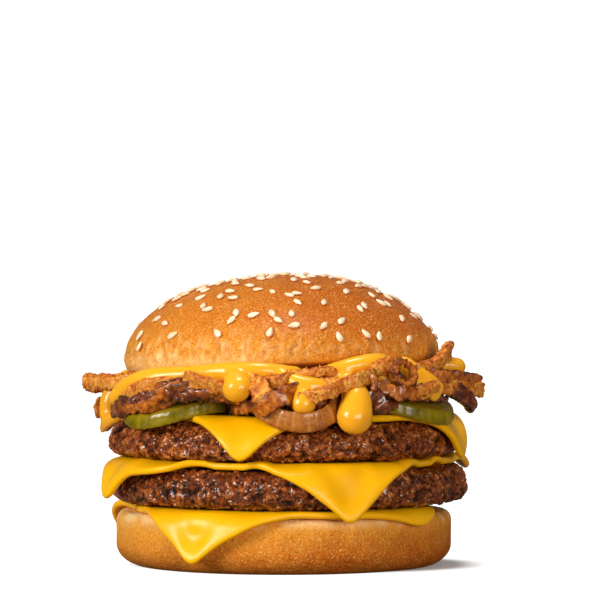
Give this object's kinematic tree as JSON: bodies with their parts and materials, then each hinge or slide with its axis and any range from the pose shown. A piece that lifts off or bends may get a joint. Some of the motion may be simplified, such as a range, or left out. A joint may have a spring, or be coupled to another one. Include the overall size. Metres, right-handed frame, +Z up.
{
  "type": "double cheeseburger",
  "caption": "Tall cheeseburger on a seeded bun: stacked beef patties with draped cheese slices, pickles, fried onion strips and runs of cheese sauce.",
  "frame": {"origin": "middle of the flat underside of the bun's heel, on the surface that it stands on", "axes": "+Z up through the stack; the side that the picture shows faces -Y"},
  "size_m": [0.1287, 0.1225, 0.0927],
  "materials": {
    "crown_crust": "satin egg-washed crust with pale sesame seeds",
    "heel_crust": "matt floury crust",
    "beef": "coarse grilled mince, moist in places",
    "cheese": "soft melted sheen",
    "pickle": "wet",
    "cooked_onion": "glassy and wet",
    "fried_onion": "crisp golden crumb, darker caramelised strips",
    "sauce": "glossy pouring cheese"
  },
  "bodies": {
    "root": {"bun_heel": "heel_crust", "cheese_lower": "cheese", "patty_lower": "beef", "cheese_middle": "cheese", "patty_upper": "beef", "cheese_upper": "cheese", "pickle_front_left": "pickle", "pickle_front_right": "pickle", "pickle_back_left": "pickle", "pickle_back_right": "pickle", "onion_slice": "cooked_onion", "onion_heap": "fried_onion", "cheese_sauce": "sauce", "bun_crown": "crown_crust"}
  },
  "joints": []
}
